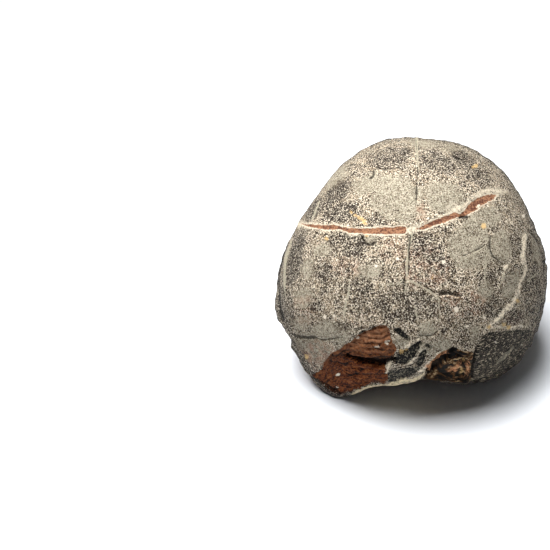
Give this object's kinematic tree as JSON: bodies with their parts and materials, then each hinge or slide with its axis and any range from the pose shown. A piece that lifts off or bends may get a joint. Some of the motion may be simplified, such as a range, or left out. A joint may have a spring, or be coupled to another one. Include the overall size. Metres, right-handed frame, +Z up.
{
  "type": "fossil dinosaur egg",
  "caption": "Round, slightly crushed fossil dinosaur egg with speckled grey shell, a mudstone-filled crack and a broken lower corner, lying on a small flat spot.",
  "frame": {"origin": "on the resting plane, under the middle of the egg's bounding box", "axes": "+Z up, square to the resting face; the show face looks towards -Y and up; +X to the right as seen from the show side"},
  "size_m": [0.1594, 0.149, 0.1371],
  "materials": {
    "egg_stone": "matt, rough fossil shell and mudstone"
  },
  "bodies": {
    "root": {"fossil_egg": "egg_stone"}
  },
  "joints": []
}
